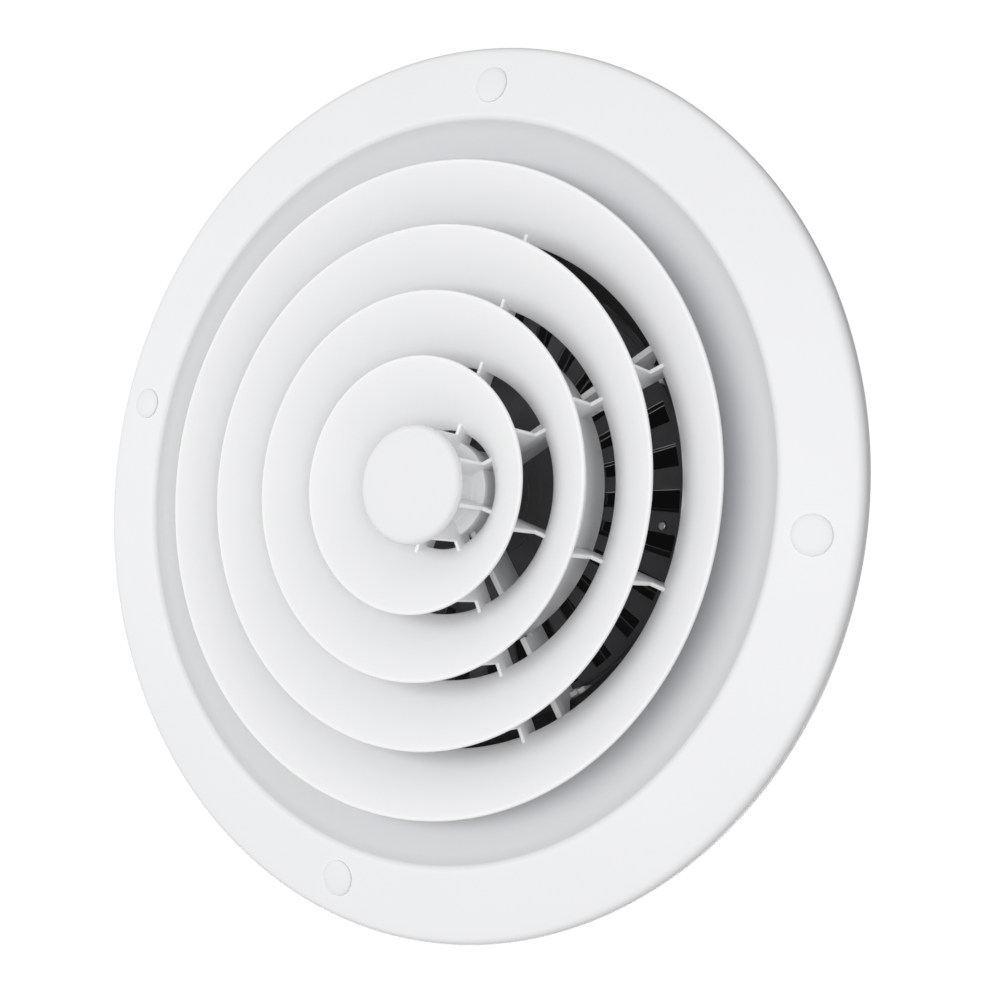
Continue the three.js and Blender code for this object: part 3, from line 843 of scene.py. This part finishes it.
def build_glide(index):
    node, rivet_node = f"glide_pad_{index}", f"pad_rivet_{index}"
    low, high = cad_box(rivet_node)
    angle = angle_of(rivet_node)
    radius = math.hypot(centre_of(rivet_node).x, centre_of(rivet_node).y)
    pad_low, pad_high = cad_box(node)[0].z, cad_box(node)[1].z
    half_length, half_width = 3.5 * MM, 2.4 * MM
    corner_low = (radius - half_length, -half_width, pad_low)
    corner_high = (radius + half_length, half_width, pad_high)
    pad = block(node + "_fine", corner_low, corner_high, 0.5 * MM)
    turn(pad, angle)
    finish_piece(pad, "frame", NYLON, "glide_nylon", node)
    seat = STATOR_LOW - 0.05 * MM
    rivet = spin(rivet_node + "_fine", [
        (0, low.z),
        *rounded([
            (0.8 * MM, low.z, 0), (1.5 * MM, low.z + 0.1 * MM, 0.8 * MM), (2 * MM, seat, 0.1 * MM),
            (1.2 * MM, seat, 0.1 * MM), (1.2 * MM, high.z, 0.2 * MM), (0.3 * MM, high.z, 0)], 4),
        (0, high.z)], 32)
    turn(move(rivet, (radius, 0, 0)), angle)
    finish_piece(rivet, "frame", STEEL, "zinc_steel", rivet_node)


def build_spindle_line():
    low, high = cad_box("shutter_spindle")
    radius = high.x
    shaft = spin("shaft", [
        (0, 33 * MM),
        *rounded([
            (5 * MM, 33 * MM, 0), (radius, 33 * MM, 0.5 * MM),
            (radius, high.z, 0.8 * MM), (3 * MM, high.z, 0)], 4),
        (0, high.z)], 96)
    square = block("square", (-4 * MM, -4 * MM, low.z), (4 * MM, 4 * MM, 33.5 * MM), 0.5 * MM)
    spindle = join("spindle_fine", [shaft, square])
    finish_piece(spindle, "rotor", STEEL, "zinc_steel", "shutter_spindle")
    for node, edge in (("spindle_circlip", 0.3 * MM), ("rotor_washer", 0.25 * MM)):
        build_plain_ring(node, "rotor", edge, STEEL, "zinc_steel")
    low, high = cad_box("spindle_nut")
    turned = 0 if high.x > high.y else math.pi / 6

    def nut_profile(angle):
        within = (angle - turned) % (math.pi / 3) - math.pi / 6
        flat = 10 * MM * math.cos(math.pi / 6) / math.cos(within)
        chamfer = min(flat, 9.3 * MM)
        return [
            (6.05 * MM, low.z + 0.4 * MM), (6.4 * MM, low.z), (chamfer - 0.4 * MM, low.z),
            (flat, low.z + 0.35 * MM), (flat, high.z - 0.6 * MM), (chamfer - 0.5 * MM, high.z),
            (6.4 * MM, high.z), (6.05 * MM, high.z - 0.4 * MM),
        ]

    nut = spin("nut_fine", nut_profile, 144)
    finish_piece(nut, "rotor", STEEL, "zinc_steel", "spindle_nut")


def build_plain_ring(node, body, edge, material, slot):
    inner, outer, low, high = ring_size(node)
    ring = spin(node + "_fine", closed_profile([
        (inner, low, edge * 0.5), (outer, low, edge), (outer, high, edge), (inner, high, edge * 0.5)]), 96)
    finish_piece(ring, body, material, slot, node)


# ---------------------------------------------------------------- core
KNOB_RADIUS = cad_box("centre_knob")[1].x
CONE_SHEET = 1.6 * MM
CONE_TOP = 14.1 * MM
# Room taken by the rounded lip beyond the end of its room-side face.
CONE_EDGE_ACROSS = 1.25 * MM
CONE_EDGE_UP = 0.38 * MM
CONE_BEND_ACROSS = 0.62
CONE_BEND_UP = 0.32
CONE_NODES = ["cone_1", "cone_2", "cone_3", "cone_4"]


def cone_line(node, steps):
    """Room-side face of a cone, from its lip up to its throat."""
    throat, lip, low = ring_size(node)[:3]
    bend = (lip - CONE_BEND_ACROSS * (lip - throat), low + CONE_BEND_UP * (CONE_TOP - low))
    start = (lip - CONE_EDGE_ACROSS, low + CONE_EDGE_UP)
    return quadratic(start, bend, (throat, CONE_TOP - CONE_SHEET / 2), steps)


def build_cone(node):
    cone = spin(node + "_fine", shell_profile(cone_line(node, 28), CONE_SHEET))
    finish_piece(cone, "core", WHITE_PAINTED_LIGHT, "white_abs", node)


HUB_RADIUS = 14.6 * MM
HUB_COLLAR_RADIUS = 20.5 * MM
RIB_TOP = 19 * MM
RIB_FOOT = -8.3 * MM
RIB_TAB = 8.5 * MM
RIB_SETBACK = 0.6 * MM
RIB_WIDTH = 1.6 * MM
RIB_DEGREES = 10
RIB_COUNT = 8


def inside_sheet(node, low, high):
    """Points half way through a cone's sheet, from one height up to another."""
    line = cone_line(node, 60)
    middle = [Vector((p.x + CONE_SHEET * 0.35, p.y + CONE_SHEET * 0.35)) for p in line]
    return [p for p in middle if low <= p.y <= high][::6]


def rib_outline():
    """A rib's outline: out behind the knob and each lip, and on by a tab into the next cone's sheet."""
    outline = [
        (12 * MM, RIB_TOP), (12 * MM, -1.5 * MM), (15 * MM, -1.5 * MM),
        (17 * MM, RIB_FOOT + 0.1 * MM),
        (KNOB_RADIUS - RIB_SETBACK, RIB_FOOT + 0.1 * MM), (KNOB_RADIUS - RIB_SETBACK, RIB_TAB),
    ]
    for node in reversed(CONE_NODES[1:]):
        edge = ring_size(node)[1] - CONE_EDGE_ACROSS - RIB_SETBACK
        behind = inside_sheet(node, RIB_FOOT, RIB_TAB)
        outline.append((behind[-1].x, RIB_TAB))
        outline += reversed(behind)
        outline += [(edge, RIB_FOOT), (edge, RIB_TAB)]
    behind = inside_sheet(CONE_NODES[0], 3 * MM, RIB_TAB)
    outline.append((behind[-1].x, RIB_TAB))
    outline += reversed(behind)
    outline += [(112 * MM, 12 * MM), (105.5 * MM, RIB_TOP)]
    return outline


def build_core_hub():
    bore = 9.49 * MM
    collar_top = RIB_TOP - 0.4 * MM
    hub = spin("hub", closed_profile([
        (bore, -2 * MM, 0.3 * MM), (17 * MM, -2 * MM, 0.8 * MM), (17 * MM, 0.5 * MM, 0.8 * MM),
        (HUB_RADIUS, 2.5 * MM, 1 * MM), (HUB_RADIUS, 12 * MM, 0.4 * MM),
        (HUB_COLLAR_RADIUS, 12 * MM, 0.5 * MM), (HUB_COLLAR_RADIUS, collar_top, 0.5 * MM),
        (HUB_RADIUS, collar_top, 0.3 * MM), (HUB_RADIUS, 24.8 * MM, 0.2 * MM),
        (13.5 * MM, 24.8 * MM, 0.2 * MM), (13.5 * MM, 27.2 * MM, 0.2 * MM),
        (HUB_RADIUS, 27.2 * MM, 0.2 * MM), (14 * MM, 30 * MM, 0.6 * MM),
        (bore, 30 * MM, 0.3 * MM)]), 128)
    outline = rib_outline()
    pieces = [hub]
    for k in range(RIB_COUNT):
        angle = math.radians(RIB_DEGREES + k * 360 / RIB_COUNT)
        pieces.append(upright_plate("rib", outline, RIB_WIDTH, angle, 0.2 * MM))
    core = join("core_hub_fine", pieces)
    finish_piece(core, "core", WHITE_PAINTED_LIGHT, "cap_abs", "core_hub_and_ribs")
    build_plain_ring("core_grip_ring", "core", 0.3 * MM, RUBBER, "seal_rubber")
    ring = spin("core_ring_fine", closed_profile([
        (RING_IN, RING_LOW, 0.4 * MM), (RING_OUT, RING_LOW, 0.5 * MM),
        (RING_OUT, RING_TOP, 0.4 * MM), (RING_IN, RING_TOP, 0.4 * MM)]))
    finish_piece(ring, "core", PALE_GREY, "pale_grey_abs", "core_ring")


def build_knob():
    low, high = cad_box("centre_knob")
    radius = high.x
    face = low.z

    def knob_profile(angle):
        socket = square_radius(4.15 * MM, angle)
        return [
            (0, face),
            *rounded([
                (14 * MM, face + 0.05 * MM, 0),
                (radius - 0.6 * MM, face + 0.3 * MM, 2.4 * MM),
                (radius, face + 3.2 * MM, 0.7 * MM),
                (13 * MM, face + 3.4 * MM, 0.5 * MM),
                (13 * MM, -2.3 * MM, 0.5 * MM),
                (9.4 * MM, -2.3 * MM, 0.2 * MM),
                (9.4 * MM, high.z, 0.6 * MM),
                (7 * MM, high.z, 0)], 6),
            (socket + 0.3 * MM, high.z),
            (socket, high.z - 0.4 * MM),
            (socket, 3 * MM),
            (0, 3 * MM),
        ]

    body = spin("knob_fine", knob_profile, 160)
    finish_piece(body, "knob", KNOB_WHITE_PAINTED_SHADE, "white_abs", "centre_knob")
    build_plain_ring("knob_clip", "knob", 0.25 * MM, STEEL, "zinc_steel")


build_frame()
build_seals()
for number in range(1, 5):
    build_screw(f"mounting_screw_{number}")
    build_cap(f"screw_cap_{number}", f"cap_{number}")
    build_wall_rivet(f"bridge_rivet_{number}")
    build_wall_rivet(f"stator_rivet_{number}")
build_bridge()
build_stator()
build_rotor()
for number in range(1, 4):
    build_glide(number)
build_spindle_line()
for cone_node in CONE_NODES:
    build_cone(cone_node)
build_core_hub()
build_knob()


# ---------------------------------------------------------------- studio
AMBIENT = 0.32
FLOOR_HEIGHT = -1.6
KEY_PLACE = CEILING + Vector((0, 0, -1.1))
KEY_WIDTH, KEY_DEPTH, KEY_POWER = 3.6, 0.7, 18.5
OVERHEAD_FROM = (-0.45, 0.5, 1.0)
OVERHEAD_STRENGTH = 1.9


def area_light(name, place, aim, width, depth, power):
    """A soft box of the given width along X, facing its aim."""
    data = bpy.data.lights.new(name, "AREA")
    data.shape = "RECTANGLE"
    data.size = width
    data.size_y = depth
    data.energy = power
    light = bpy.data.objects.new(name, data)
    back = (Vector(place) - Vector(aim)).normalized()
    along_y = back.cross(Vector((1, 0, 0))).normalized()
    axes = Matrix((along_y.cross(back), along_y, back)).transposed()
    light.matrix_world = Matrix.Translation(place) @ axes.to_4x4()
    bpy.context.scene.collection.objects.link(light)


def overhead_light(name, towards, strength):
    """A very soft sun for the floor and for the side that faces the ceiling void."""
    data = bpy.data.lights.new(name, "SUN")
    data.energy = strength
    data.angle = math.radians(70)
    light = bpy.data.objects.new(name, data)
    light.rotation_mode = "QUATERNION"
    light.rotation_quaternion = Vector(towards).to_track_quat("Z", "Y")
    bpy.context.scene.collection.objects.link(light)


def build_floor(height):
    work = bmesh.new()
    bmesh.ops.create_grid(work, x_segments=8, y_segments=8, size=30)
    mesh = bpy.data.meshes.new("studio_floor")
    work.to_mesh(mesh)
    work.free()
    floor = bpy.data.objects.new("studio_floor", mesh)
    floor.location = (0, 0, height)
    material, nodes, links = new_material("floor_paint")
    shader = nodes["Principled BSDF"]
    tint = map_range(nodes, links, add_noise(nodes, links, 2.0), 0.0, 1.0)
    paint = mix_colour(nodes, links, tint, (0.78, 0.78, 0.78), (0.82, 0.82, 0.82))
    links.new(paint, shader.inputs["Base Color"])
    shader.inputs["Roughness"].default_value = 0.8
    mesh.materials.append(material)
    bpy.context.scene.collection.objects.link(floor)
    floor.visible_diffuse = False


def build_duct_shadow():
    """A dark disc above the neck, seen only from below and only by the camera: the unlit duct."""
    work = bmesh.new()
    bmesh.ops.create_circle(work, cap_ends=True, segments=96, radius=NECK_RADIUS * 0.995)
    mesh = bpy.data.meshes.new("duct_shadow")
    work.to_mesh(mesh)
    work.free()
    disc = bpy.data.objects.new("duct_shadow", mesh)
    disc.location = CEILING + Vector((0, 0, NECK_TOP - 0.5 * MM))
    material, nodes, links = new_material("duct_dark")
    nodes.remove(nodes["Principled BSDF"])
    side = nodes.new("ShaderNodeNewGeometry")
    dark = nodes.new("ShaderNodeEmission")
    dark.inputs["Color"].default_value = (0.004, 0.004, 0.004, 1)
    clear = nodes.new("ShaderNodeBsdfTransparent")
    mix = nodes.new("ShaderNodeMixShader")
    aim = nodes.new("ShaderNodeVectorMath")
    aim.operation = "DOT_PRODUCT"
    aim.inputs[1].default_value = (0, 0, 1)
    links.new(side.outputs["Incoming"], aim.inputs[0])
    above = nodes.new("ShaderNodeMath")
    above.operation = "GREATER_THAN"
    above.inputs[1].default_value = 0.0
    links.new(aim.outputs["Value"], above.inputs[0])
    links.new(above.outputs["Value"], mix.inputs["Fac"])
    links.new(dark.outputs["Emission"], mix.inputs[1])
    links.new(clear.outputs["BSDF"], mix.inputs[2])
    links.new(mix.outputs["Shader"], nodes["Material Output"].inputs["Surface"])
    mesh.materials.append(material)
    bpy.context.scene.collection.objects.link(disc)
    disc.visible_diffuse = False
    disc.visible_glossy = False
    disc.visible_shadow = False
    disc.visible_transmission = False


def build_world():
    world = bpy.data.worlds.new("studio")
    bpy.context.scene.world = world
    world.use_nodes = True
    nodes, links = world.node_tree.nodes, world.node_tree.links
    background = nodes["Background"]
    background.inputs["Color"].default_value = (1, 1, 1, 1)
    path = nodes.new("ShaderNodeLightPath")
    strength = nodes.new("ShaderNodeMix")
    strength.data_type = "FLOAT"
    strength.inputs["A"].default_value = AMBIENT
    strength.inputs["B"].default_value = 1.0
    links.new(path.outputs["Is Camera Ray"], strength.inputs["Factor"])
    links.new(strength.outputs["Result"], background.inputs["Strength"])


# Camera place and axes as fractions of the flange radius, from the plane of the flange's edge.
CAMERA_PLACE = Vector((1.5393, -0.0716, -2.1361))
CAMERA_UP = Vector((-0.1774, -0.9810, -0.0788))
CAMERA_BACK = Vector((0.5234, -0.0262, -0.8517))
EDGE_PLANE_Z = -0.036 * OUTER_RADIUS
LENS_MM = 41.76


def build_camera():
    data = bpy.data.cameras.new("camera")
    data.sensor_width = 36
    data.lens = LENS_MM
    data.clip_start = 0.01
    data.clip_end = 100
    camera = bpy.data.objects.new("camera", data)
    place = CAMERA_PLACE * OUTER_RADIUS + Vector((0, 0, EDGE_PLANE_Z)) + CEILING
    back = CAMERA_BACK.normalized()
    right = CAMERA_UP.cross(back).normalized()
    up = back.cross(right)
    axes = Matrix((right, up, back)).transposed()
    camera.matrix_world = Matrix.Translation(place) @ axes.to_4x4()
    bpy.context.scene.collection.objects.link(camera)
    bpy.context.scene.camera = camera


build_world()
build_floor(FLOOR_HEIGHT)
build_duct_shadow()
area_light("key", KEY_PLACE, CEILING, KEY_WIDTH, KEY_DEPTH, KEY_POWER)
overhead_light("overhead", OVERHEAD_FROM, OVERHEAD_STRENGTH)
build_camera()
bpy.context.scene.view_settings.view_transform = "Standard"
